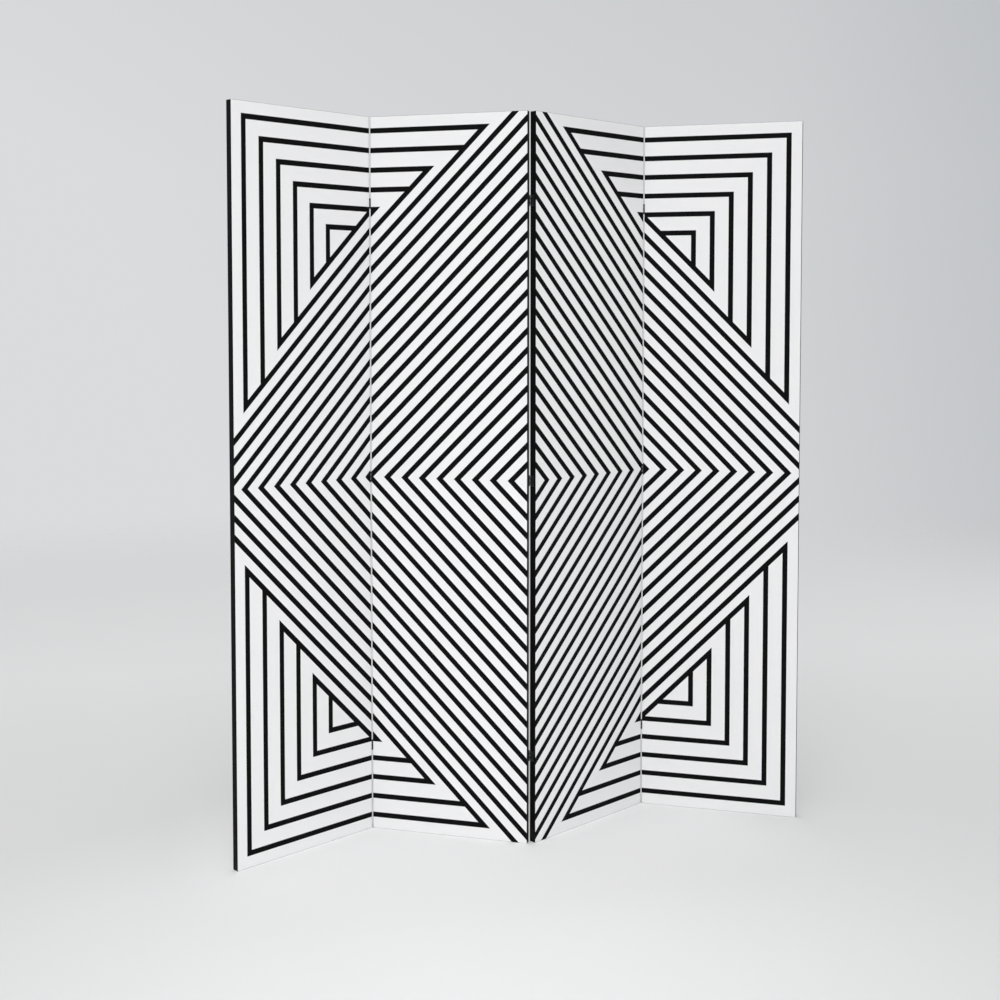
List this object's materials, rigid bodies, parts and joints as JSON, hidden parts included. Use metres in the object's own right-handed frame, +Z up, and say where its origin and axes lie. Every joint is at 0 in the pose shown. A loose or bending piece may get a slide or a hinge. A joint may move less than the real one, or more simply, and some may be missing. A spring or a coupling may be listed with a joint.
{
  "type": "folding room divider",
  "caption": "Free-standing folding screen of canvas panels on timber frames, printed with nested diamond stripes, joined by small butt hinges that fold in a zigzag.",
  "frame": {"origin": "on the floor, under the middle of the bounding box of the screen as it stands", "axes": "+Z up along the panels, +X from the left panel to the right one as the viewer sees them, +Y away from the viewer, so the printed faces look towards -Y"},
  "size_m": [1.4488, 0.2186, 1.8],
  "materials": {
    "printed_canvas": "matte",
    "plain_canvas": "matte",
    "black_tape": "satin",
    "pine": "matte",
    "black_screw": "satin",
    "black_hinge": "satin",
    "hinge_pin": "satin"
  },
  "bodies": {
    "panel_1": {"front_canvas_1": "printed_canvas", "rear_canvas_1": "plain_canvas", "edge_tape_1": "black_tape", "left_stile_1": "pine", "right_stile_1": "pine", "top_rail_1": "pine", "bottom_rail_1": "pine", "cross_rails_1": "pine", "hinge_screws_1": "black_screw", "left_leaf_12_lower": "black_hinge", "left_leaf_12_middle": "black_hinge", "left_leaf_12_upper": "black_hinge"},
    "panel_2": {"front_canvas_2": "printed_canvas", "rear_canvas_2": "plain_canvas", "edge_tape_2": "black_tape", "left_stile_2": "pine", "right_stile_2": "pine", "top_rail_2": "pine", "bottom_rail_2": "pine", "cross_rails_2": "pine", "hinge_screws_2": "black_screw", "left_leaf_23_lower": "black_hinge", "left_leaf_23_middle": "black_hinge", "left_leaf_23_upper": "black_hinge", "right_leaf_12_lower": "black_hinge", "right_leaf_12_middle": "black_hinge", "right_leaf_12_upper": "black_hinge", "hinge_pins_12": "hinge_pin", "hinge_pins_23": "hinge_pin"},
    "panel_3": {"front_canvas_3": "printed_canvas", "rear_canvas_3": "plain_canvas", "edge_tape_3": "black_tape", "left_stile_3": "pine", "right_stile_3": "pine", "top_rail_3": "pine", "bottom_rail_3": "pine", "cross_rails_3": "pine", "hinge_screws_3": "black_screw", "left_leaf_34_lower": "black_hinge", "left_leaf_34_middle": "black_hinge", "left_leaf_34_upper": "black_hinge", "right_leaf_23_lower": "black_hinge", "right_leaf_23_middle": "black_hinge", "right_leaf_23_upper": "black_hinge", "hinge_pins_34": "hinge_pin"},
    "panel_4": {"front_canvas_4": "printed_canvas", "rear_canvas_4": "plain_canvas", "edge_tape_4": "black_tape", "left_stile_4": "pine", "right_stile_4": "pine", "top_rail_4": "pine", "bottom_rail_4": "pine", "cross_rails_4": "pine", "hinge_screws_4": "black_screw", "right_leaf_34_lower": "black_hinge", "right_leaf_34_middle": "black_hinge", "right_leaf_34_upper": "black_hinge"}
  },
  "joints": [
    {"name": "fold_12", "type": "hinge", "parent": "panel_2", "child": "panel_1", "pos_m": [-0.36297, 0.09206, 0.9], "axis": [0, 0, 1], "range_deg": [-60, 120]},
    {"name": "fold_23", "type": "hinge", "parent": "panel_2", "child": "panel_3", "pos_m": [0, -0.09206, 0.9], "axis": [0, 0, 1], "range_deg": [-60, 120]},
    {"name": "fold_34", "type": "hinge", "parent": "panel_3", "child": "panel_4", "pos_m": [0.36297, 0.09206, 0.9], "axis": [0, 0, 1], "range_deg": [-120, 60]}
  ]
}
